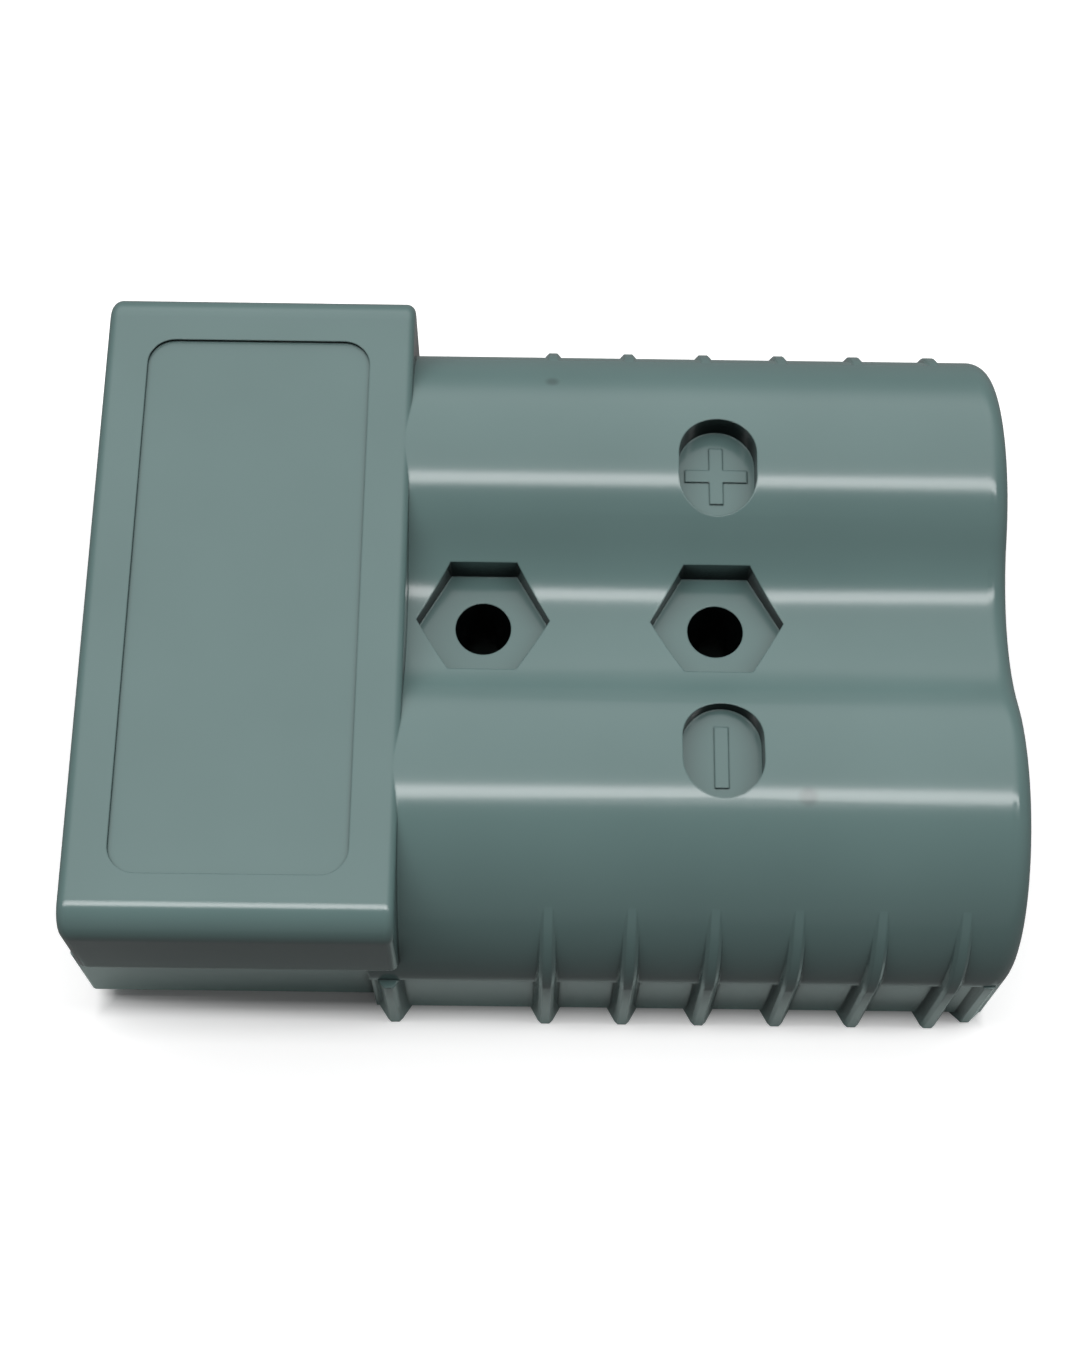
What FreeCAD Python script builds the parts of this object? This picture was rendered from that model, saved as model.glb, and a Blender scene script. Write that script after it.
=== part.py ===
import FreeCAD, Part
import Sketcher
import math
import os

# Genderless two-pole power connector
# The mating end faces -X and the cable end +X. The underside is flat and lies on Z = 0.
# A second connector, turned half a turn about Y, mates with this one: each hood slides
# over the other's tongue, and the contacts meet at the middle height.

SIZES = {
    # whole housing
    "total_length": 109.5,
    "total_height": 36.6,
    # hood and tongue at the mating end
    "hood_length": 37.0,
    "hood_width": 80.6,
    "hood_side_wall": 2.0,
    "hood_top_wall": 2.4,
    "hood_side_radius": 3.6,
    "hood_front_radius": 1.4,
    "hood_rear_radius": 1.1,
    "hood_wall_lift": 3.6,
    "hood_overhang": 3.75,
    "centre_rib_width": 4.0,
    "tongue_lead": 1.5,
    "mating_clearance": 0.25,
    "tongue_edge_radius": 0.6,
    # blank label panel sunk into the top of the hood
    "panel_end_margin": 5.2,
    "panel_side_margin": 6.8,
    "panel_corner_radius": 3.2,
    "panel_depth": 0.5,
    # two-lobed body behind the hood
    "lobe_radius": 19.45,
    "lobe_spacing": 40.9,
    "valley_radius": 16.5,
    "crest_drop": 0.1,
    "ledge_drop": 0.65,
    "skirt_inset": 0.7,
    "underside_radius": 1.8,
    "rear_edge_radius": 2.6,
    # grip ribs up the lobes, and low ribs on the skirt at either end of the row
    "rib_count": 6,
    "first_rib_setback": 16.9,
    "last_rib_inset": 7.1,
    "rib_base": 4.0,
    "rib_stand_out": 1.0,
    "rib_tip_width": 1.0,
    "rib_tip_chamfer": 0.4,
    "rib_root_depth": 0.7,
    "rib_fade_angle": 42.0,
    "shoulder_rib_base": 4.4,
    "shoulder_rib_inset": 2.25,
    "rear_rib_base": 4.4,
    "rear_rib_inset": 2.5,
    "rear_rib_stand_out": 0.2,
    # bolt holes with nut pockets
    "first_bolt_setback": 8.9,
    "bolt_spacing": 27.5,
    "bolt_hole_radius": 3.3,
    "nut_across_flats": 13.6,
    "nut_seat_drop": 9.2,
    # polarity windows
    "window_width": 9.2,
    "window_length": 11.9,
    "window_spacing": 35.7,
    "window_depth": 3.9,
    "mark_length": 7.4,
    "mark_width": 1.6,
    "mark_height": 0.25,
    # contacts
    "contact_width": 20.0,
    "contact_thickness": 5.0,
    "contact_setback": 3.0,
    "contact_clearance": 0.25,
    "latch_height": 1.6,
    "latch_length": 2.6,
    "latch_ramp": 1.8,
    "nose_chamfer": 1.4,
    "front_wall": 1.8,
    "front_wall_drop": 2.0,
    "bulkhead_length": 11.25,
    "barrel_neck": 6.0,
    "barrel_radius": 9.0,
    "barrel_length": 28.0,
    "wire_bore_radius": 6.6,
    "wire_bore_depth": 26.0,
    "cable_bore_radius": 13.0,
    "cable_bore_floor": 4.05,
    "cable_mouth_chamfer": 1.0,
    # leaf springs under the contacts
    "spring_width": 11.0,
    "spring_thickness": 1.1,
    "spring_span": 29.0,
    "spring_rise": 4.3,
    "spring_clearance": 0.1,
    "spring_slot_start": 5.0,
    "spring_end_gap": 0.6,
}

# The grip ribs' paths run on to this many times the fade angle, so that they end in the lobes
RIB_SINK = 1.4
# Two places are taken as one below this distance in millimetres
TOLERANCE = 0.01

doc = FreeCAD.newDocument("power_connector")
sheet = doc.addObject("Spreadsheet::Sheet", "Sizes")
for row, (alias, number) in enumerate(SIZES.items(), start=1):
    sheet.set("A%d" % row, alias)
    sheet.set("B%d" % row, str(number))
    sheet.setAlias("B%d" % row, alias)
doc.recompute()

# Lengths that several pieces share, as expressions on the sheet
FRONT = "-Sizes.total_length / 2"
REAR = "Sizes.total_length / 2"
TOP = "Sizes.total_height"
MIDDLE = "Sizes.total_height / 2"
HOOD_FRONT = FRONT + " + Sizes.tongue_lead"
HOOD_REAR = HOOD_FRONT + " + Sizes.hood_length"
HOOD_LOW = MIDDLE + " + Sizes.hood_wall_lift"
SHOULDER = HOOD_REAR + " - Sizes.hood_overhang"
TONGUE_LENGTH = "Sizes.tongue_lead + Sizes.hood_length - Sizes.hood_overhang"
HALF_HOOD = "Sizes.hood_width / 2"
POLE = "Sizes.lobe_spacing / 2"
HALF_BODY = "(Sizes.lobe_spacing / 2 + Sizes.lobe_radius)"
LOBE_CENTRE = "(Sizes.total_height - Sizes.crest_drop - Sizes.lobe_radius)"
LEDGE = LOBE_CENTRE + " - Sizes.ledge_drop"
BORE_CENTRE = "(Sizes.cable_bore_floor + Sizes.cable_bore_radius)"
TONGUE_TOP = MIDDLE + " - Sizes.mating_clearance"
TONGUE_LOW = "Sizes.hood_top_wall + Sizes.mating_clearance"
HALF_TONGUE = HALF_HOOD + " - Sizes.hood_side_wall - Sizes.mating_clearance"
PLATE_TOP = MIDDLE + " - Sizes.latch_height / 2"
PLATE_LOW = PLATE_TOP + " - Sizes.contact_thickness"
CHANNEL_LOW = PLATE_LOW + " - Sizes.contact_clearance"
HALF_CHANNEL = "(Sizes.contact_width / 2 + Sizes.contact_clearance)"
BARREL_WALL = SHOULDER + " + Sizes.bulkhead_length"
SPRING_FLOOR = PLATE_LOW + " - Sizes.spring_clearance - Sizes.spring_thickness - Sizes.spring_rise"
SPRING_START = FRONT + " + Sizes.spring_slot_start"
FIRST_RIB = HOOD_REAR + " + Sizes.first_rib_setback"
LAST_RIB = REAR + " - Sizes.last_rib_inset"
FIRST_BOLT = HOOD_REAR + " + Sizes.first_bolt_setback"
SECOND_BOLT = FIRST_BOLT + " + Sizes.bolt_spacing"
HALF_WINDOW_SPACING = "Sizes.window_spacing / 2"
WINDOW_FLOOR = TOP + " - Sizes.window_depth"


def number(expression):
    """Value of an expression on the sheet, in millimetres or degrees."""
    result = sheet.evalExpression(expression)
    return float(getattr(result, "Value", result))


def new_body(label):
    """Empty body of one sub-part."""
    body = doc.addObject("PartDesign::Body", label)
    body.Label = label
    return body


def new_sketch(body, name, role, offset=None):
    """Sketch on one of the body's own origin planes, moved along the plane's normal."""
    sketch = body.newObject("Sketcher::SketchObject", name)
    plane = next(item for item in body.Origin.OriginFeatures if item.Role == role)
    sketch.AttachmentSupport = (plane, [""])
    sketch.MapMode = "FlatFace"
    if offset:
        sketch.setExpression("AttachmentOffset.Base.z", offset)
    return sketch


def place_point(sketch, geometry, point, across, up):
    """Hold a point of the sketch at two expressions from the sketch's origin."""
    for kind, expression in (("DistanceX", across), ("DistanceY", up)):
        constraint = Sketcher.Constraint(kind, -1, 1, geometry, point, number(expression))
        index = sketch.addConstraint(constraint)
        sketch.setExpression("Constraints[%d]" % index, expression)


def set_radius(sketch, geometry, expression):
    """Hold the radius of an arc or a circle at an expression."""
    index = sketch.addConstraint(Sketcher.Constraint("Radius", geometry, number(expression)))
    sketch.setExpression("Constraints[%d]" % index, expression)


def vector(across, up):
    return FreeCAD.Vector(across, up, 0)


def add_polygon(sketch, corners):
    """Closed outline through corners, each given as two expressions."""
    points = [vector(number(across), number(up)) for across, up in corners]
    first = sketch.GeometryCount
    count = len(points)
    for index in range(count):
        sketch.addGeometry(Part.LineSegment(points[index], points[(index + 1) % count]))
    for index, (across, up) in enumerate(corners):
        previous = first + (index - 1) % count
        sketch.addConstraint(Sketcher.Constraint("Coincident", previous, 2, first + index, 1))
        place_point(sketch, first + index, 1, across, up)


def add_rectangle(sketch, left, right, low, high):
    add_polygon(sketch, [(left, low), (right, low), (right, high), (left, high)])


def add_circle(sketch, across, up, radius):
    centre = vector(number(across), number(up))
    circle = sketch.addGeometry(Part.Circle(centre, FreeCAD.Vector(0, 0, 1), number(radius)))
    place_point(sketch, circle, 3, across, up)
    set_radius(sketch, circle, radius)


def add_rounded_rectangle(sketch, left, right, low, high, radius):
    """Rectangle with four equal corner arcs: each arc's centre and radius are held."""
    size = number(radius)
    corners = [
        ("%s + %s" % (left, radius), "%s + %s" % (low, radius), math.pi),
        ("%s - %s" % (right, radius), "%s + %s" % (low, radius), 1.5 * math.pi),
        ("%s - %s" % (right, radius), "%s - %s" % (high, radius), 0.0),
        ("%s + %s" % (left, radius), "%s - %s" % (high, radius), 0.5 * math.pi),
    ]
    arcs = []
    for across, up, start in corners:
        centre = vector(number(across), number(up))
        circle = Part.Circle(centre, FreeCAD.Vector(0, 0, 1), size)
        arcs.append(sketch.addGeometry(Part.ArcOfCircle(circle, start, start + 0.5 * math.pi)))
    for index in range(4):
        arc = arcs[index]
        following = arcs[(index + 1) % 4]
        start = sketch.getPoint(arc, 2)
        end = sketch.getPoint(following, 1)
        side = sketch.addGeometry(Part.LineSegment(start, end))
        sketch.addConstraint(Sketcher.Constraint("Tangent", arc, 2, side, 1))
        sketch.addConstraint(Sketcher.Constraint("Tangent", side, 2, following, 1))
        direction = "Horizontal" if index % 2 == 0 else "Vertical"
        sketch.addConstraint(Sketcher.Constraint(direction, side))
    place_point(sketch, arcs[0], 3, corners[0][0], corners[0][1])
    place_point(sketch, arcs[2], 3, corners[2][0], corners[2][1])
    for arc in arcs:
        set_radius(sketch, arc, radius)


def add_slot(sketch, across, up, half_width, reach):
    """Slot along the sketch's second axis: two half circles joined by straight sides."""
    radius = number(half_width)
    middle = number(across)
    ends = ("%s + %s - %s" % (up, reach, half_width), "%s - %s + %s" % (up, reach, half_width))
    arcs = []
    for end, start in zip(ends, (0.0, math.pi)):
        circle = Part.Circle(vector(middle, number(end)), FreeCAD.Vector(0, 0, 1), radius)
        arcs.append(sketch.addGeometry(Part.ArcOfCircle(circle, start, start + math.pi)))
    for first, second in (arcs, reversed(arcs)):
        points = (sketch.getPoint(first, 2), sketch.getPoint(second, 1))
        side = sketch.addGeometry(Part.LineSegment(*points))
        sketch.addConstraint(Sketcher.Constraint("Tangent", first, 2, side, 1))
        sketch.addConstraint(Sketcher.Constraint("Tangent", side, 2, second, 1))
    for arc, end in zip(arcs, ends):
        place_point(sketch, arc, 3, across, end)
    set_radius(sketch, arcs[0], half_width)


def pad(body, sketch, name, length, reverse=False, midplane=False):
    feature = body.newObject("PartDesign::Pad", name)
    feature.Profile = sketch
    feature.Reversed = reverse
    feature.Midplane = midplane
    feature.setExpression("Length", length)
    return feature


def pocket(body, sketch, name, depth=None, reverse=False):
    """Cut a sketch against its normal, or along it when reversed, to a depth or through all."""
    feature = body.newObject("PartDesign::Pocket", name)
    feature.Profile = sketch
    feature.Reversed = reverse
    if depth is None:
        feature.Type = "ThroughAll"
    else:
        feature.setExpression("Length", depth)
    return feature


def edges_where(feature, test):
    """Names of the feature's edges whose bounding box passes the test."""
    names = []
    for index, edge in enumerate(feature.Shape.Edges, start=1):
        if test(edge.BoundBox):
            names.append("Edge%d" % index)
    return names


def near(one, other):
    return abs(one - other) < TOLERANCE


def finish_edges(body, base, name, size, test, kind="Fillet"):
    """Fillet or chamfer the edges of the base feature that pass the test."""
    doc.recompute()
    feature = body.newObject("PartDesign::" + kind, name)
    feature.Base = (base, edges_where(base, test))
    feature.setExpression("Radius" if kind == "Fillet" else "Size", size)
    return feature


def body_outline(sketch):
    """Section of the body: two convex lobes joined by a concave valley, straight sides
    down to a ledge, and a skirt set in below it. The valley arc is tangent to both lobes."""
    radius = number("Sizes.lobe_radius")
    valley = number("Sizes.valley_radius")
    pole = number(POLE)
    centre_up = number(LOBE_CENTRE)
    valley_up = centre_up + math.sqrt((radius + valley) ** 2 - pole ** 2)
    slope = math.atan2(valley_up - centre_up, pole)
    axis = FreeCAD.Vector(0, 0, 1)
    right = Part.Circle(vector(pole, centre_up), axis, radius)
    left = Part.Circle(vector(-pole, centre_up), axis, radius)
    hollow = Part.Circle(vector(0, valley_up), axis, valley)
    right_lobe = sketch.addGeometry(Part.ArcOfCircle(right, 0, math.pi - slope))
    valley_arc = sketch.addGeometry(Part.ArcOfCircle(hollow, math.pi + slope, 2 * math.pi - slope))
    left_lobe = sketch.addGeometry(Part.ArcOfCircle(left, slope, math.pi))
    side = HALF_BODY
    skirt = HALF_BODY + " - Sizes.skirt_inset"
    corners = [
        ("-" + side, LOBE_CENTRE),
        ("-" + side, LEDGE),
        ("-(%s)" % skirt, LEDGE),
        ("-(%s)" % skirt, "0"),
        (skirt, "0"),
        (skirt, LEDGE),
        (side, LEDGE),
        (side, LOBE_CENTRE),
    ]
    lines = []
    for start, end in zip(corners, corners[1:]):
        points = [vector(number(across), number(up)) for across, up in (start, end)]
        lines.append(sketch.addGeometry(Part.LineSegment(*points)))
    for first, second in zip(lines, lines[1:]):
        sketch.addConstraint(Sketcher.Constraint("Coincident", first, 2, second, 1))
    for line, (across, up) in zip(lines[1:], corners[1:-1]):
        place_point(sketch, line, 1, across, up)
    sketch.addConstraint(Sketcher.Constraint("Tangent", lines[-1], 2, right_lobe, 1))
    sketch.addConstraint(Sketcher.Constraint("Tangent", right_lobe, 2, valley_arc, 2))
    sketch.addConstraint(Sketcher.Constraint("Tangent", valley_arc, 1, left_lobe, 1))
    sketch.addConstraint(Sketcher.Constraint("Tangent", left_lobe, 2, lines[0], 1))
    set_radius(sketch, right_lobe, "Sizes.lobe_radius")
    set_radius(sketch, left_lobe, "Sizes.lobe_radius")
    set_radius(sketch, valley_arc, "Sizes.valley_radius")
    place_point(sketch, right_lobe, 3, POLE, LOBE_CENTRE)
    place_point(sketch, left_lobe, 3, "-" + POLE, LOBE_CENTRE)


def rib_section(body, name, position, base_width, stand_out):
    """Section of a rib on the +Y side: straight flanks from the root to a chamfered tip."""
    tip = HALF_BODY + " + " + stand_out
    root = HALF_BODY + " - Sizes.skirt_inset - Sizes.rib_root_depth"
    section = new_sketch(body, name + "_section", "XY_Plane")
    half_section = [
        (base_width + " / 2", root),
        ("Sizes.rib_tip_width / 2 + Sizes.rib_tip_chamfer", tip + " - Sizes.rib_tip_chamfer"),
        ("Sizes.rib_tip_width / 2", tip),
    ]
    right = [("%s + %s" % (position, across), up) for across, up in half_section]
    left = [("%s - (%s)" % (position, across), up) for across, up in reversed(half_section)]
    add_polygon(section, right + left)
    return section


def add_grip_rib(body, name, position):
    """Grip rib swept up the skirt and over the lobe. The path's arc is struck from a centre
    outside the lobe's, so that the rib sinks into the lobe at the fade angle."""
    lobe = number("Sizes.lobe_radius")
    stand_out = number("Sizes.rib_stand_out")
    fade = math.radians(number("Sizes.rib_fade_angle"))
    outside = lobe + stand_out
    shift = (outside ** 2 - lobe ** 2) / (2 * (outside - lobe * math.cos(fade)))
    arc_radius = outside - shift
    face = number(HALF_BODY) + stand_out
    centre_up = number(LOBE_CENTRE)
    path = new_sketch(body, name + "_path", "YZ_Plane", position)
    arc = Part.Circle(vector(face - arc_radius, centre_up), FreeCAD.Vector(0, 0, 1), arc_radius)
    path.addGeometry(Part.LineSegment(vector(face, 0), vector(face, centre_up)))
    path.addGeometry(Part.ArcOfCircle(arc, 0, RIB_SINK * fade))
    rib = body.newObject("PartDesign::AdditivePipe", name)
    rib.Profile = rib_section(body, name, position, "Sizes.rib_base", "Sizes.rib_stand_out")
    rib.Spine = path
    return rib


def build_housing():
    """The one-piece moulded housing."""
    body = new_body("housing")
    hood_front = number(HOOD_FRONT)
    hood_rear = number(HOOD_REAR)
    hood_low = number(HOOD_LOW)
    top = number(TOP)

    # Hood over the upper half of the mating end, with rounded edges
    hood_plan = new_sketch(body, "hood_plan", "XY_Plane", HOOD_LOW)
    add_rectangle(hood_plan, HOOD_FRONT, HOOD_REAR, "-" + HALF_HOOD, HALF_HOOD)
    hood = pad(body, hood_plan, "hood_block", "%s - (%s)" % (TOP, HOOD_LOW))

    def top_side_edge(box):
        return near(box.ZMin, top) and near(box.YMin, box.YMax)

    def rim_at(place):
        return lambda box: near(box.XMin, place) and near(box.XMax, place) and not near(box.ZMax, hood_low)

    hood = finish_edges(body, hood, "hood_side_edges", "Sizes.hood_side_radius", top_side_edge)
    hood = finish_edges(body, hood, "hood_front_rim", "Sizes.hood_front_radius", rim_at(hood_front))
    finish_edges(body, hood, "hood_rear_rim", "Sizes.hood_rear_radius", rim_at(hood_rear))

    # Body behind the shoulder
    outline = new_sketch(body, "body_section", "YZ_Plane", SHOULDER)
    body_outline(outline)
    lobed = pad(body, outline, "lobed_body", "%s - (%s)" % (REAR, SHOULDER))
    rear = number(REAR)
    ledge = number(LEDGE)
    skirt = number(HALF_BODY + " - Sizes.skirt_inset")

    def rear_outline(box):
        return near(box.XMin, rear) and box.ZMax > ledge + TOLERANCE

    def underside_edge(box):
        return near(box.ZMax, 0) and near(abs(box.YMin), skirt) and near(box.YMin, box.YMax)

    lobed = finish_edges(body, lobed, "rear_edges", "Sizes.rear_edge_radius", rear_outline)
    finish_edges(body, lobed, "underside_edges", "Sizes.underside_radius", underside_edge)

    # Tongue along the lower half of the mating end, set in by the mating hood's walls
    tongue_plan = new_sketch(body, "tongue_plan", "XY_Plane", TONGUE_LOW)
    inset = "(%s)" % HALF_TONGUE
    add_rectangle(tongue_plan, FRONT, SHOULDER + " + Sizes.hood_side_wall", "-" + inset, inset)
    tongue = pad(body, tongue_plan, "tongue_block", "(%s) - (%s)" % (TONGUE_TOP, TONGUE_LOW))
    front = number(FRONT)
    shoulder = number(SHOULDER)
    tongue_low = number(TONGUE_LOW)

    def tongue_outer_edge(box):
        low = near(box.ZMin, tongue_low) and near(box.ZMax, tongue_low)
        upright = near(box.XMax, front) and near(box.YMin, box.YMax)
        return box.XMin < shoulder - TOLERANCE and (low or upright)

    finish_edges(body, tongue, "tongue_edges", "Sizes.tongue_edge_radius", tongue_outer_edge)

    # Grip ribs and the two low end ribs, mirrored to the other side
    origin_items = {item.Role: item for item in body.Origin.OriginFeatures}
    rib = add_grip_rib(body, "grip_rib", FIRST_RIB)
    shoulder_place = SHOULDER + " + Sizes.shoulder_rib_inset"
    shoulder_section = rib_section(
        body, "shoulder_rib", shoulder_place, "Sizes.shoulder_rib_base", "Sizes.rib_stand_out")
    shoulder_rib = pad(body, shoulder_section, "shoulder_rib", LEDGE)
    rear_place = REAR + " - Sizes.rear_rib_inset"
    rear_section = rib_section(
        body, "rear_rib", rear_place, "Sizes.rear_rib_base", "Sizes.rear_rib_stand_out")
    rear_rib = pad(body, rear_section, "rear_rib", LEDGE)
    row = doc.addObject("PartDesign::LinearPattern", "rib_row")
    row.Direction = (origin_items["X_Axis"], [""])
    row.setExpression("Occurrences", "Sizes.rib_count")
    row.setExpression("Length", "%s - (%s)" % (LAST_RIB, FIRST_RIB))
    row_mirror = doc.addObject("PartDesign::Mirrored", "rib_row_mirror")
    row_mirror.MirrorPlane = (origin_items["XZ_Plane"], [""])
    both_rows = body.newObject("PartDesign::MultiTransform", "both_rib_rows")
    both_rows.Originals = [rib]
    for step in (row, row_mirror):
        body.addObject(step)
    both_rows.Transformations = [row, row_mirror]
    body.Tip = both_rows
    end_ribs = body.newObject("PartDesign::Mirrored", "end_rib_mirror")
    end_ribs.Originals = [shoulder_rib, rear_rib]
    end_ribs.MirrorPlane = (origin_items["XZ_Plane"], [""])
    body.Tip = end_ribs
    doc.recompute()

    # Hood cavity in two halves, either side of the centre rib
    cavity = new_sketch(body, "cavity_section", "YZ_Plane", HOOD_FRONT)
    inner = "(%s - Sizes.hood_side_wall)" % HALF_HOOD
    rib_half = "Sizes.centre_rib_width / 2"
    ceiling = TOP + " - Sizes.hood_top_wall"
    add_rectangle(cavity, rib_half, inner, TONGUE_TOP, ceiling)
    add_rectangle(cavity, "-" + inner, "-" + rib_half, TONGUE_TOP, ceiling)
    cavity_depth = TONGUE_LENGTH + " + Sizes.mating_clearance"
    pocket(body, cavity, "hood_cavity", cavity_depth, reverse=True)

    # Slot between the two tongues for the mating hood's centre rib
    slot = new_sketch(body, "tongue_slot_section", "YZ_Plane", FRONT)
    slot_half = "(Sizes.centre_rib_width / 2 + Sizes.mating_clearance)"
    add_rectangle(slot, "-" + slot_half, slot_half, "0", MIDDLE)
    pocket(body, slot, "tongue_slot", cavity_depth, reverse=True)

    # Round bores for the cables and contact barrels, open at the rear face
    bores = new_sketch(body, "cable_bore_circles", "YZ_Plane", REAR)
    add_circle(bores, POLE, BORE_CENTRE, "Sizes.cable_bore_radius")
    add_circle(bores, "-" + POLE, BORE_CENTRE, "Sizes.cable_bore_radius")
    bored = pocket(body, bores, "cable_bores", "%s - (%s)" % (REAR, BARREL_WALL))
    bore_width = 2 * number("Sizes.cable_bore_radius")

    def bore_mouth(box):
        return near(box.XMin, rear) and near(box.XMax, rear) and near(box.YLength, bore_width)

    finish_edges(body, bored, "cable_mouths", "Sizes.cable_mouth_chamfer", bore_mouth, "Chamfer")

    # A channel for each contact, along the tongue and through the wall into the bore
    channels = new_sketch(body, "channel_section", "YZ_Plane", FRONT + " + Sizes.front_wall")
    channel_top = MIDDLE + " + Sizes.latch_height / 2 + Sizes.contact_clearance"
    for side in ("", "-"):
        pole = side + POLE
        near_side = pole + " - " + HALF_CHANNEL
        far_side = pole + " + " + HALF_CHANNEL
        add_rectangle(channels, near_side, far_side, CHANNEL_LOW, channel_top)
    channel_length = "%s + Sizes.contact_clearance - (%s) - Sizes.front_wall" % (BARREL_WALL, FRONT)
    pocket(body, channels, "contact_channels", channel_length, reverse=True)

    # The low front wall of each channel, which clears the mating contact
    gates = new_sketch(body, "front_wall_section", "YZ_Plane", FRONT)
    low = MIDDLE + " - Sizes.front_wall_drop"
    for side in ("", "-"):
        pole = side + POLE
        add_rectangle(gates, pole + " - " + HALF_CHANNEL, pole + " + " + HALF_CHANNEL, low, MIDDLE)
    pocket(body, gates, "front_wall_notches", "Sizes.front_wall + Sizes.contact_clearance", reverse=True)

    # A slot for the leaf spring in the floor of each channel
    springs = new_sketch(body, "spring_slot_section", "YZ_Plane", SPRING_START)
    half_slot = "(Sizes.spring_width / 2 + Sizes.contact_clearance)"
    for side in ("", "-"):
        pole = side + POLE
        add_rectangle(springs, pole + " - " + half_slot, pole + " + " + half_slot, SPRING_FLOOR, PLATE_LOW)
    slot_length = "Sizes.spring_span + 2 * Sizes.spring_end_gap"
    pocket(body, springs, "spring_slots", slot_length, reverse=True)

    # Two bolt holes right through, each with a hexagonal nut pocket above
    holes = new_sketch(body, "bolt_hole_circles", "XY_Plane", TOP)
    nuts = new_sketch(body, "nut_outlines", "XY_Plane", TOP)
    corner = "Sizes.nut_across_flats / sqrt(3)"
    flat = "Sizes.nut_across_flats / 2"
    for centre in (FIRST_BOLT, SECOND_BOLT):
        add_circle(holes, centre, "0", "Sizes.bolt_hole_radius")
        hexagon = [
            (centre + " + " + corner, "0"),
            (centre + " + " + corner + " / 2", flat),
            (centre + " - " + corner + " / 2", flat),
            (centre + " - " + corner, "0"),
            (centre + " - " + corner + " / 2", "-" + flat),
            (centre + " + " + corner + " / 2", "-" + flat),
        ]
        add_polygon(nuts, hexagon)
    pocket(body, nuts, "nut_pockets", "Sizes.nut_seat_drop")
    pocket(body, holes, "bolt_holes")

    # Polarity windows in the lobes: flat floors with a raised plus and a raised bar
    windows = new_sketch(body, "window_outlines", "XY_Plane", TOP)
    window_half = "Sizes.window_width / 2"
    window_reach = "Sizes.window_length / 2"
    for side in ("", "-"):
        centre = side + HALF_WINDOW_SPACING
        add_slot(windows, SECOND_BOLT, centre, window_half, window_reach)
    pocket(body, windows, "polarity_windows", "Sizes.window_depth")
    marks = new_sketch(body, "mark_outlines", "XY_Plane", WINDOW_FLOOR)
    long_half = "Sizes.mark_length / 2"
    thin_half = "Sizes.mark_width / 2"
    plus = [
        (thin_half, thin_half),
        (thin_half, long_half),
        ("-" + thin_half, long_half),
        ("-" + thin_half, thin_half),
        ("-" + long_half, thin_half),
        ("-" + long_half, "-" + thin_half),
        ("-" + thin_half, "-" + thin_half),
        ("-" + thin_half, "-" + long_half),
        (thin_half, "-" + long_half),
        (thin_half, "-" + thin_half),
        (long_half, "-" + thin_half),
        (long_half, thin_half),
    ]
    centre = HALF_WINDOW_SPACING
    add_polygon(marks, [(SECOND_BOLT + " + " + across, centre + " + " + up) for across, up in plus])
    bar_ends = ("-%s - %s" % (centre, long_half), "-%s + %s" % (centre, long_half))
    add_rectangle(marks, SECOND_BOLT + " - " + thin_half, SECOND_BOLT + " + " + thin_half, *bar_ends)
    pad(body, marks, "polarity_marks", "Sizes.mark_height")

    # Blank label panel, sunk into the top of the hood
    panel = new_sketch(body, "panel_outline", "XY_Plane", TOP)
    left = HOOD_FRONT + " + Sizes.panel_end_margin"
    right = HOOD_REAR + " - Sizes.panel_end_margin"
    side = "(%s - Sizes.panel_side_margin)" % HALF_HOOD
    add_rounded_rectangle(panel, left, right, "-" + side, side, "Sizes.panel_corner_radius")
    pocket(body, panel, "label_panel", "Sizes.panel_depth")
    return body


def build_contact(label, side):
    """Silver-plated contact: a flat plate with a latching nose, and a crimp barrel."""
    body = new_body(label)
    body.setExpression("Placement.Base.y", side + POLE)

    # Plate seen from the side: chamfered nose, raised latch, and a ramp down to the face
    nose = FRONT + " + Sizes.contact_setback"
    latch_top = MIDDLE + " + Sizes.latch_height / 2"
    latch_start = nose + " + Sizes.nose_chamfer"
    latch_end = latch_start + " + Sizes.latch_length"
    plate_end = BARREL_WALL + " + Sizes.contact_clearance + Sizes.barrel_neck"
    profile = [
        (nose, PLATE_LOW + " + Sizes.nose_chamfer"),
        (nose + " + Sizes.nose_chamfer", PLATE_LOW),
        (plate_end, PLATE_LOW),
        (plate_end, PLATE_TOP),
        (latch_end + " + Sizes.latch_ramp", PLATE_TOP),
        (latch_end, latch_top),
        (latch_start, latch_top),
        (nose, latch_top + " - Sizes.nose_chamfer"),
    ]
    sketch = new_sketch(body, label + "_plate_profile", "XZ_Plane")
    add_polygon(sketch, profile)
    pad(body, sketch, label + "_plate", "Sizes.contact_width", midplane=True)

    # Shoulder that grows from the plate's section to the barrel's circle
    shoulder_start = BARREL_WALL + " + Sizes.contact_clearance"
    barrel_start = shoulder_start + " + Sizes.barrel_neck"
    root = new_sketch(body, label + "_neck_section", "YZ_Plane", shoulder_start)
    half = "Sizes.contact_width / 2"
    add_rectangle(root, "-" + half, half, PLATE_LOW, PLATE_TOP)
    circle = new_sketch(body, label + "_barrel_circle", "YZ_Plane", barrel_start)
    add_circle(circle, "0", BORE_CENTRE, "Sizes.barrel_radius")
    neck = body.newObject("PartDesign::AdditiveLoft", label + "_neck")
    neck.Profile = root
    neck.Sections = [circle]
    pad(body, circle, label + "_barrel", "Sizes.barrel_length")

    # Wire bore, blind, open at the rear
    barrel_end = barrel_start + " + Sizes.barrel_length"
    mouth = new_sketch(body, label + "_wire_bore_circle", "YZ_Plane", barrel_end)
    add_circle(mouth, "0", BORE_CENTRE, "Sizes.wire_bore_radius")
    pocket(body, mouth, label + "_wire_bore", "Sizes.wire_bore_depth")
    return body


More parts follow.
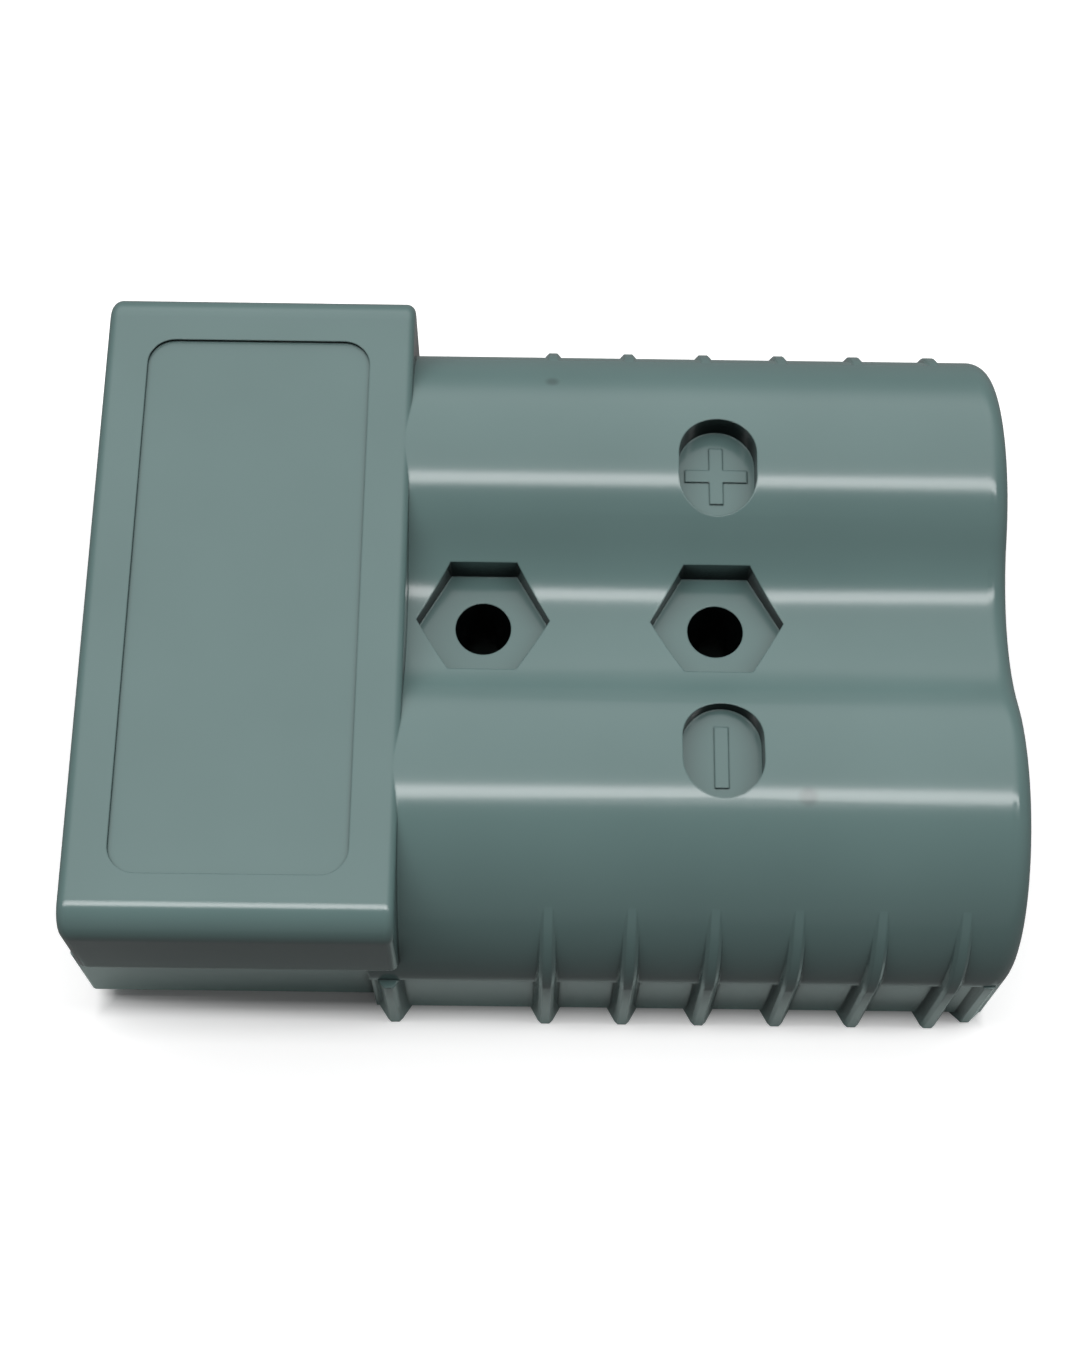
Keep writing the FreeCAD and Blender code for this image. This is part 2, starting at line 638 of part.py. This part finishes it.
def build_spring(label, side):
    """Leaf spring: a bowed steel strip that stands on its two ends and bears on the
    contact's underside at its crest."""
    body = new_body(label)
    body.setExpression("Placement.Base.y", side + POLE)
    span = number("Sizes.spring_span")
    rise = number("Sizes.spring_rise")
    thickness = number("Sizes.spring_thickness")
    radius = (span ** 2 / 4 + rise ** 2) / (2 * rise)
    half_angle = math.asin(span / (2 * radius))
    crest = number(PLATE_LOW) - number("Sizes.spring_clearance")
    centre_up = crest - thickness - radius
    middle = number(SPRING_START) + number("Sizes.spring_end_gap") + span / 2
    axis = FreeCAD.Vector(0, 0, 1)
    start = math.pi / 2 - half_angle
    end = math.pi / 2 + half_angle
    sketch = new_sketch(body, label + "_profile", "XZ_Plane")
    arcs = []
    for size in (radius, radius + thickness):
        circle = Part.Circle(vector(middle, centre_up), axis, size)
        arcs.append(sketch.addGeometry(Part.ArcOfCircle(circle, start, end)))
    inner, outer = arcs
    for point in (1, 2):
        ends = (sketch.getPoint(inner, point), sketch.getPoint(outer, point))
        line = sketch.addGeometry(Part.LineSegment(*ends))
        sketch.addConstraint(Sketcher.Constraint("Coincident", inner, point, line, 1))
        sketch.addConstraint(Sketcher.Constraint("Coincident", outer, point, line, 2))
    pad(body, sketch, label + "_strip", "Sizes.spring_width", midplane=True)
    return body


build_housing()
for pole_name, side in (("positive", ""), ("negative", "-")):
    build_contact("contact_" + pole_name, side)
    build_spring("spring_" + pole_name, side)
doc.recompute()

for item in doc.Objects:
    if "Invalid" in item.State or "Error" in item.State:
        raise RuntimeError("%s has failed: %s" % (item.Name, item.State))
os.makedirs("parts", exist_ok=True)
sub_parts = [item for item in doc.Objects if item.TypeId == "PartDesign::Body"]
for item in sub_parts:
    if item.Shape.isNull() or not item.Shape.isValid() or len(item.Shape.Solids) != 1:
        raise RuntimeError("%s is not one valid solid" % item.Label)
for item in sub_parts:
    item.Shape.exportStep("parts/%s.step" % item.Label)
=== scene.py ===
import math

import bpy
from mathutils import Matrix, Vector


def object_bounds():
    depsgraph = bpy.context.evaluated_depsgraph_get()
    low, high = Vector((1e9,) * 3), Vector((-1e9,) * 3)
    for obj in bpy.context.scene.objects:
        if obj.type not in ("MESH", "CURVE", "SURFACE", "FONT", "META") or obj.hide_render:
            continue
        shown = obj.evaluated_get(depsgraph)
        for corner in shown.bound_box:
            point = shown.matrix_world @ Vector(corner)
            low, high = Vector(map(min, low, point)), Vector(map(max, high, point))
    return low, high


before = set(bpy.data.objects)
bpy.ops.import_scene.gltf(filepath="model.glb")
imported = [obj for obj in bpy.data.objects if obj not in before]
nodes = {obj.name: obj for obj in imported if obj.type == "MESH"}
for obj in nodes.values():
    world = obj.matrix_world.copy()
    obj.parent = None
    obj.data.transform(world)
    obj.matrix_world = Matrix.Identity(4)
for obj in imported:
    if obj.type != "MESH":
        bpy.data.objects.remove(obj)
cad_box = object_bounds()

MM = 0.001

# The two colours and the result of a colour mix node, by socket number
MIX_A = 6
MIX_B = 7
MIX_RESULT = 2
BEVEL_SAMPLES = 4


# Colour and node helpers

def linear(hex_colour):
    """sRGB hex to a linear colour with full alpha."""
    parts = [int(hex_colour[i:i + 2], 16) / 255 for i in (1, 3, 5)]
    return [v / 12.92 if v <= 0.04045 else ((v + 0.055) / 1.055) ** 2.4 for v in parts] + [1.0]


def add_node(tree, kind, inputs=None, links=None, **settings):
    """Adds one node: its settings, its unlinked inputs and the sockets linked to its inputs."""
    node = tree.nodes.new(kind)
    for name, value in settings.items():
        setattr(node, name, value)
    for name, value in (inputs or {}).items():
        node.inputs[name].default_value = value
    for name, socket in (links or {}).items():
        tree.links.new(socket, node.inputs[name])
    return node


def new_material(name):
    material = bpy.data.materials.new(name)
    material.use_nodes = True
    material.node_tree.nodes.clear()
    return material, material.node_tree


# Moulded polycarbonate of the housing

HOUSING_COLOUR = "#5A7371"
HOUSING_PALE = "#647E7C"
HOUSING_ROUGHNESS = 0.17
POLYCARBONATE_IOR = 1.585
EDGE_ROUND = 0.3 * MM
FLOW_MARK_LENGTH = 22 * MM
FLOW_MARK_DETAIL = 3.0
GRAIN_SIZE = 0.9 * MM
GRAIN_DEPTH = 0.05 * MM
GRAIN_STRENGTH = 0.03
# Small scuffs on the moulding: place on the surface and radius
SCUFFS = [
    ((0.5 * MM, 29.9 * MM, 34.4 * MM), 1.2 * MM),
    ((29.5 * MM, -23.6 * MM, 36.2 * MM), 1.5 * MM),
]
SCUFF_COLOUR = "#43524F"
SCUFF_STRENGTH = 0.6
SCUFF_CORE = 0.3
# Painted shade: recess walls are painted towards near black between two shares of open space
# round them, within either reach, and between two upward tilts. Their gloss falls with them.
PAINTED_RECESS_SHADE = "#0C1112"
RECESS_REACH = 8 * MM
CREVICE_REACH = 1.4 * MM
RECESS_SAMPLES = 8
RECESS_OPENNESS = (0.9, 0.62)
RECESS_TILT = (0.5, 0.1)
RECESS_GLOSS = (0.5, 0.05)


def polycarbonate():
    """Grey polycarbonate, injection moulded in a polished tool: an even semi-gloss with
    crisp reflections, faint flow marks in the colour and softly rounded edges. Steep walls
    that are closed in, as in holes and pockets, are painted towards near black as shade,
    and their gloss is turned down with it."""
    material, tree = new_material("moulded_grey_polycarbonate")
    place = add_node(tree, "ShaderNodeTexCoord")
    flow = add_node(
        tree, "ShaderNodeTexNoise", {"Scale": 1 / FLOW_MARK_LENGTH, "Detail": FLOW_MARK_DETAIL},
        {"Vector": place.outputs["Object"]})
    colour = add_node(
        tree, "ShaderNodeMix", {MIX_A: linear(HOUSING_COLOUR), MIX_B: linear(HOUSING_PALE)},
        {0: flow.outputs["Fac"]}, data_type="RGBA")
    result = colour.outputs[MIX_RESULT]
    for centre, radius in SCUFFS:
        away = add_node(
            tree, "ShaderNodeVectorMath", {1: centre}, {0: place.outputs["Object"]}, operation="DISTANCE")
        mask = add_node(
            tree, "ShaderNodeMapRange",
            {"From Min": radius, "From Max": SCUFF_CORE * radius, "To Max": SCUFF_STRENGTH},
            {"Value": away.outputs["Value"]}, interpolation_type="SMOOTHSTEP")
        scuffed = add_node(
            tree, "ShaderNodeMix", {MIX_B: linear(SCUFF_COLOUR)},
            {0: mask.outputs["Result"], MIX_A: result}, data_type="RGBA")
        result = scuffed.outputs[MIX_RESULT]
    bevel = add_node(tree, "ShaderNodeBevel", {"Radius": EDGE_ROUND}, samples=BEVEL_SAMPLES)
    grain = add_node(
        tree, "ShaderNodeTexNoise", {"Scale": 1 / GRAIN_SIZE}, {"Vector": place.outputs["Object"]})
    bump = add_node(
        tree, "ShaderNodeBump", {"Strength": GRAIN_STRENGTH, "Distance": GRAIN_DEPTH},
        {"Height": grain.outputs["Fac"], "Normal": bevel.outputs["Normal"]})
    # Painted shade mask: ambient occlusion at a long and a short reach marks deep recesses and narrow
    # crevices
    closed_in = []
    for distance in (RECESS_REACH, CREVICE_REACH):
        openness = add_node(
            tree, "ShaderNodeAmbientOcclusion", {"Distance": distance}, samples=RECESS_SAMPLES,
            only_local=True)
        closed = add_node(
            tree, "ShaderNodeMapRange",
            {"From Min": RECESS_OPENNESS[0], "From Max": RECESS_OPENNESS[1]},
            {"Value": openness.outputs["AO"]})
        closed_in.append(closed.outputs["Result"])
    enclosed = add_node(
        tree, "ShaderNodeMath", None, {0: closed_in[0], 1: closed_in[1]}, operation="MAXIMUM")
    facing = add_node(tree, "ShaderNodeSeparateXYZ", None, {0: bevel.outputs["Normal"]})
    steep = add_node(
        tree, "ShaderNodeMapRange", {"From Min": RECESS_TILT[0], "From Max": RECESS_TILT[1]},
        {"Value": facing.outputs["Z"]})
    shade = add_node(
        tree, "ShaderNodeMath", None, {0: enclosed.outputs["Value"], 1: steep.outputs["Result"]},
        operation="MULTIPLY")
    # Painted shade: the colour is mixed towards near black where the shade mask is high
    colour_with_painted_shade = add_node(
        tree, "ShaderNodeMix", {MIX_B: linear(PAINTED_RECESS_SHADE)},
        {0: shade.outputs["Value"], MIX_A: result}, data_type="RGBA")
    gloss = add_node(
        tree, "ShaderNodeMapRange", {"To Min": RECESS_GLOSS[0], "To Max": RECESS_GLOSS[1]},
        {"Value": shade.outputs["Value"]})
    shader = add_node(
        tree, "ShaderNodeBsdfPrincipled", {"Roughness": HOUSING_ROUGHNESS, "IOR": POLYCARBONATE_IOR},
        {"Base Color": colour_with_painted_shade.outputs[MIX_RESULT], "Specular IOR Level": gloss.outputs["Result"],
         "Normal": bump.outputs["Normal"]})
    add_node(tree, "ShaderNodeOutputMaterial", None, {"Surface": shader.outputs["BSDF"]})
    return material


# Silver plating on the copper contacts

SILVER = "#DCD9D0"
SILVER_ROUGHNESS = (0.22, 0.38)
SILVER_EDGE_ROUND = 0.25 * MM
TARNISH_COLOUR = "#B9B0A0"
TARNISH_SIZE = 9 * MM
TARNISH_DETAIL = 4.0
TARNISH_SPREAD = (0.5, 0.75)
TARNISH_STRENGTH = 0.7
DRAW_LINE_WIDTH = 0.35 * MM
DRAW_LINE_STRETCH = (0.03, 1.0, 1.0)
DRAW_LINE_DEPTH = 0.03 * MM
DRAW_LINE_STRENGTH = 0.12


def silver_plating():
    """Electroplated silver over drawn copper: bright satin, with fine lines along the
    length and a light warm tarnish in patches."""
    material, tree = new_material("satin_silver_plating")
    place = add_node(tree, "ShaderNodeTexCoord")
    patches = add_node(
        tree, "ShaderNodeTexNoise", {"Scale": 1 / TARNISH_SIZE, "Detail": TARNISH_DETAIL},
        {"Vector": place.outputs["Object"]})
    amount = add_node(
        tree, "ShaderNodeMapRange",
        {"From Min": TARNISH_SPREAD[0], "From Max": TARNISH_SPREAD[1], "To Max": TARNISH_STRENGTH},
        {"Value": patches.outputs["Fac"]})
    colour = add_node(
        tree, "ShaderNodeMix", {MIX_A: linear(SILVER), MIX_B: linear(TARNISH_COLOUR)},
        {0: amount.outputs["Result"]}, data_type="RGBA")
    stretch = add_node(
        tree, "ShaderNodeMapping", {"Scale": DRAW_LINE_STRETCH}, {"Vector": place.outputs["Object"]})
    lines = add_node(
        tree, "ShaderNodeTexNoise", {"Scale": 1 / DRAW_LINE_WIDTH}, {"Vector": stretch.outputs["Vector"]})
    gloss = add_node(
        tree, "ShaderNodeMapRange", {"To Min": SILVER_ROUGHNESS[0], "To Max": SILVER_ROUGHNESS[1]},
        {"Value": lines.outputs["Fac"]})
    bevel = add_node(tree, "ShaderNodeBevel", {"Radius": SILVER_EDGE_ROUND}, samples=BEVEL_SAMPLES)
    bump = add_node(
        tree, "ShaderNodeBump", {"Strength": DRAW_LINE_STRENGTH, "Distance": DRAW_LINE_DEPTH},
        {"Height": lines.outputs["Fac"], "Normal": bevel.outputs["Normal"]})
    shader = add_node(
        tree, "ShaderNodeBsdfPrincipled", {"Metallic": 1.0},
        {"Base Color": colour.outputs[MIX_RESULT], "Roughness": gloss.outputs["Result"],
         "Normal": bump.outputs["Normal"]})
    add_node(tree, "ShaderNodeOutputMaterial", None, {"Surface": shader.outputs["BSDF"]})
    return material


# Cold-rolled strip of the springs

SPRING_STEEL = "#8D9093"
STEEL_ROUGHNESS = (0.28, 0.5)
ROLL_LINE_WIDTH = 0.25 * MM
ROLL_LINE_DETAIL = 3.0
ROLL_LINE_STRETCH = (0.05, 1.0, 0.05)


def spring_steel():
    """Hardened cold-rolled strip: grey, with fine rolling lines along its length."""
    material, tree = new_material("cold_rolled_spring_steel")
    place = add_node(tree, "ShaderNodeTexCoord")
    stretch = add_node(
        tree, "ShaderNodeMapping", {"Scale": ROLL_LINE_STRETCH}, {"Vector": place.outputs["Object"]})
    lines = add_node(
        tree, "ShaderNodeTexNoise", {"Scale": 1 / ROLL_LINE_WIDTH, "Detail": ROLL_LINE_DETAIL},
        {"Vector": stretch.outputs["Vector"]})
    gloss = add_node(
        tree, "ShaderNodeMapRange", {"To Min": STEEL_ROUGHNESS[0], "To Max": STEEL_ROUGHNESS[1]},
        {"Value": lines.outputs["Fac"]})
    shader = add_node(
        tree, "ShaderNodeBsdfPrincipled", {"Metallic": 1.0, "Base Color": linear(SPRING_STEEL)},
        {"Roughness": gloss.outputs["Result"]})
    add_node(tree, "ShaderNodeOutputMaterial", None, {"Surface": shader.outputs["BSDF"]})
    return material


def dress(node_name, material):
    """Gives a CAD node its one material."""
    mesh = nodes[node_name].data
    mesh.materials.clear()
    mesh.materials.append(material)


# Studio

WHITE = (1, 1, 1, 1)
# Share of the white background that glossy rays see
GLOSSY_SHARE = 0.12
FLOOR_HALF = 1.5
# The floor lies this far under the part's flat underside, so that they share no plane
FLOOR_GAP = 0.02 * MM
FLOOR_WHITE = "#F4F4F4"
FLOOR_GLOW = 0.38
FLOOR_GREY = "#3C3C3C"
CARD_PALE = "#C3D6D2"
CARD_MARGIN = 2.5 * MM
CARD_FADE = 2.5 * MM
STRIP_HEIGHT = 1.2
STRIP_LENGTH = 2.6
STRIP_WIDTH = 0.18
STRIP_RADIANCE = 7.8
SKY_DARK = 0.17
SKY_BRIGHT = 1.15
# The bright wall's edges: a ray's direction along +Y, upwards and sideways, from dim to full
WALL_AHEAD = (0.0, 0.14)
WALL_UP = (0.05, 0.42)
WALL_ASIDE = (0.9, 0.4)


def background_share(tree):
    """How far a ray sees the white background: wholly for camera and transmission rays,
    and in part for glossy ones, so that metal shows it and the sides keep their depth."""
    path = add_node(tree, "ShaderNodeLightPath")
    clear = add_node(
        tree, "ShaderNodeMath", None,
        {0: path.outputs["Is Camera Ray"], 1: path.outputs["Is Transmission Ray"]}, operation="MAXIMUM")
    glossy = add_node(
        tree, "ShaderNodeMath", {1: GLOSSY_SHARE}, {0: path.outputs["Is Glossy Ray"]},
        operation="MULTIPLY")
    share = add_node(
        tree, "ShaderNodeMath", None, {0: clear.outputs["Value"], 1: glossy.outputs["Value"]},
        operation="MAXIMUM")
    return share.outputs["Value"]


def studio_floor():
    """White sweep for the background, and to other rays a dark table with a pale card that
    reaches just past the object, which lights the lowest faces and leaves the sides dark.
    The sweep's own glow starts outside the object's outline, so holes look on to dark paper."""
    side = (-FLOOR_HALF, FLOOR_HALF)
    points = [(across, along, -FLOOR_GAP) for along in side for across in side]
    mesh = bpy.data.meshes.new("floor")
    mesh.from_pydata(points, [], [(0, 1, 3, 2)])
    floor = bpy.data.objects.new("floor", mesh)
    bpy.context.scene.collection.objects.link(floor)
    material, tree = new_material("white_paper_sweep")
    place = add_node(tree, "ShaderNodeTexCoord")
    far_out = add_node(
        tree, "ShaderNodeVectorMath", None, {0: place.outputs["Object"]}, operation="ABSOLUTE")
    reach = (cad_box[1][0], cad_box[1][1], 0)
    beyond = add_node(
        tree, "ShaderNodeVectorMath", {1: reach}, {0: far_out.outputs["Vector"]}, operation="SUBTRACT")
    split = add_node(tree, "ShaderNodeSeparateXYZ", None, {0: beyond.outputs["Vector"]})
    outside = add_node(
        tree, "ShaderNodeMath", None, {0: split.outputs["X"], 1: split.outputs["Y"]},
        operation="MAXIMUM")
    glow = add_node(
        tree, "ShaderNodeMapRange", {"From Min": -CARD_FADE, "From Max": 0, "To Max": FLOOR_GLOW},
        {"Value": outside.outputs["Value"]})
    off_card = add_node(
        tree, "ShaderNodeMapRange", {"From Min": CARD_MARGIN, "From Max": CARD_MARGIN + CARD_FADE},
        {"Value": outside.outputs["Value"]})
    table = add_node(
        tree, "ShaderNodeMix", {MIX_A: linear(CARD_PALE), MIX_B: linear(FLOOR_GREY)},
        {0: off_card.outputs["Result"]}, data_type="RGBA")
    white = add_node(tree, "ShaderNodeBsdfDiffuse", {"Color": linear(FLOOR_WHITE)})
    lift = add_node(tree, "ShaderNodeEmission", {"Color": WHITE}, {"Strength": glow.outputs["Result"]})
    bright = add_node(
        tree, "ShaderNodeAddShader", None, {0: white.outputs["BSDF"], 1: lift.outputs["Emission"]})
    dull = add_node(tree, "ShaderNodeBsdfDiffuse", None, {"Color": table.outputs[MIX_RESULT]})
    mixed = add_node(
        tree, "ShaderNodeMixShader", None,
        {0: background_share(tree), 1: dull.outputs["BSDF"], 2: bright.outputs["Shader"]})
    add_node(tree, "ShaderNodeOutputMaterial", None, {"Surface": mixed.outputs["Shader"]})
    mesh.materials.append(material)


def overhead_strip():
    """Bright strip light straight above, along the crests, on which it draws the thin
    highlights. Its power follows from its radiance: power = pi * area * radiance."""
    data = bpy.data.lights.new("overhead_strip", "AREA")
    data.shape = "RECTANGLE"
    data.size = STRIP_LENGTH
    data.size_y = STRIP_WIDTH
    data.energy = math.pi * STRIP_LENGTH * STRIP_WIDTH * STRIP_RADIANCE
    light = bpy.data.objects.new("overhead_strip", data)
    light.location = (0, 0, STRIP_HEIGHT)
    bpy.context.scene.collection.objects.link(light)


def studio_sky():
    """A broad white wall behind the object glows from overhead down to the horizon and
    lights the slopes that face it. The sky on the other sides stays dim."""
    world = bpy.data.worlds.new("studio")
    bpy.context.scene.world = world
    world.use_nodes = True
    tree = world.node_tree
    tree.nodes.clear()
    place = add_node(tree, "ShaderNodeTexCoord")
    direction = add_node(tree, "ShaderNodeSeparateXYZ", None, {0: place.outputs["Generated"]})
    aside = add_node(tree, "ShaderNodeMath", None, {0: direction.outputs["X"]}, operation="ABSOLUTE")
    edges = (
        (direction.outputs["Y"], WALL_AHEAD),
        (direction.outputs["Z"], WALL_UP),
        (aside.outputs["Value"], WALL_ASIDE),
    )
    ahead, upwards, inside = [
        add_node(
            tree, "ShaderNodeMapRange", {"From Min": dim, "From Max": full}, {"Value": socket},
            interpolation_type="SMOOTHSTEP").outputs["Result"]
        for socket, (dim, full) in edges]
    low_edge = add_node(tree, "ShaderNodeMath", None, {0: ahead, 1: upwards}, operation="MULTIPLY")
    wall = add_node(
        tree, "ShaderNodeMath", None, {0: low_edge.outputs["Value"], 1: inside}, operation="MULTIPLY")
    level = add_node(
        tree, "ShaderNodeMath", {1: SKY_BRIGHT, 2: SKY_DARK}, {0: wall.outputs["Value"]},
        operation="MULTIPLY_ADD")
    sky = add_node(
        tree, "ShaderNodeBackground", {"Color": WHITE}, {"Strength": level.outputs["Value"]})
    white = add_node(tree, "ShaderNodeBackground", {"Color": WHITE, "Strength": 1.0})
    mixed = add_node(
        tree, "ShaderNodeMixShader", None,
        {0: background_share(tree), 1: sky.outputs["Background"], 2: white.outputs["Background"]})
    add_node(tree, "ShaderNodeOutputWorld", None, {"Surface": mixed.outputs["Shader"]})


# Camera, as fitted to the photograph

PHOTO_HEIGHT = 1350
CAMERA_PLACE = (-1.43 * MM, -108.98 * MM, 280.90 * MM)
CAMERA_ELEVATION = 67.85
CAMERA_YAW = 0.48
CAMERA_ROLL = 1.18
FOCAL_PIXELS = 2325
SENSOR = 36
CLIP_START = 10 * MM


def photo_camera():
    """Camera at the photograph's viewing angle: it looks down along +Y, with a small turn
    about the vertical and a small roll."""
    data = bpy.data.cameras.new("camera")
    data.sensor_width = SENSOR
    data.lens = FOCAL_PIXELS / PHOTO_HEIGHT * SENSOR
    data.clip_start = CLIP_START
    camera = bpy.data.objects.new("camera", data)
    bpy.context.scene.collection.objects.link(camera)
    tilt, yaw, roll = (math.radians(v) for v in (CAMERA_ELEVATION, CAMERA_YAW, CAMERA_ROLL))
    ahead = Vector((math.sin(yaw) * math.cos(tilt), math.cos(yaw) * math.cos(tilt), -math.sin(tilt)))
    right = Vector((math.cos(yaw), -math.sin(yaw), 0))
    up = right.cross(ahead)
    across = right * math.cos(roll) + up * math.sin(roll)
    top = up * math.cos(roll) - right * math.sin(roll)
    turn = Matrix((across, top, -ahead)).transposed()
    camera.matrix_world = Matrix.Translation(CAMERA_PLACE) @ turn.to_4x4()
    bpy.context.scene.camera = camera


dress("housing", polycarbonate())
plating = silver_plating()
strip = spring_steel()
for pole in ("positive", "negative"):
    dress("contact_" + pole, plating)
    dress("spring_" + pole, strip)
studio_floor()
overhead_strip()
studio_sky()
photo_camera()
bpy.context.scene.view_settings.view_transform = "Standard"
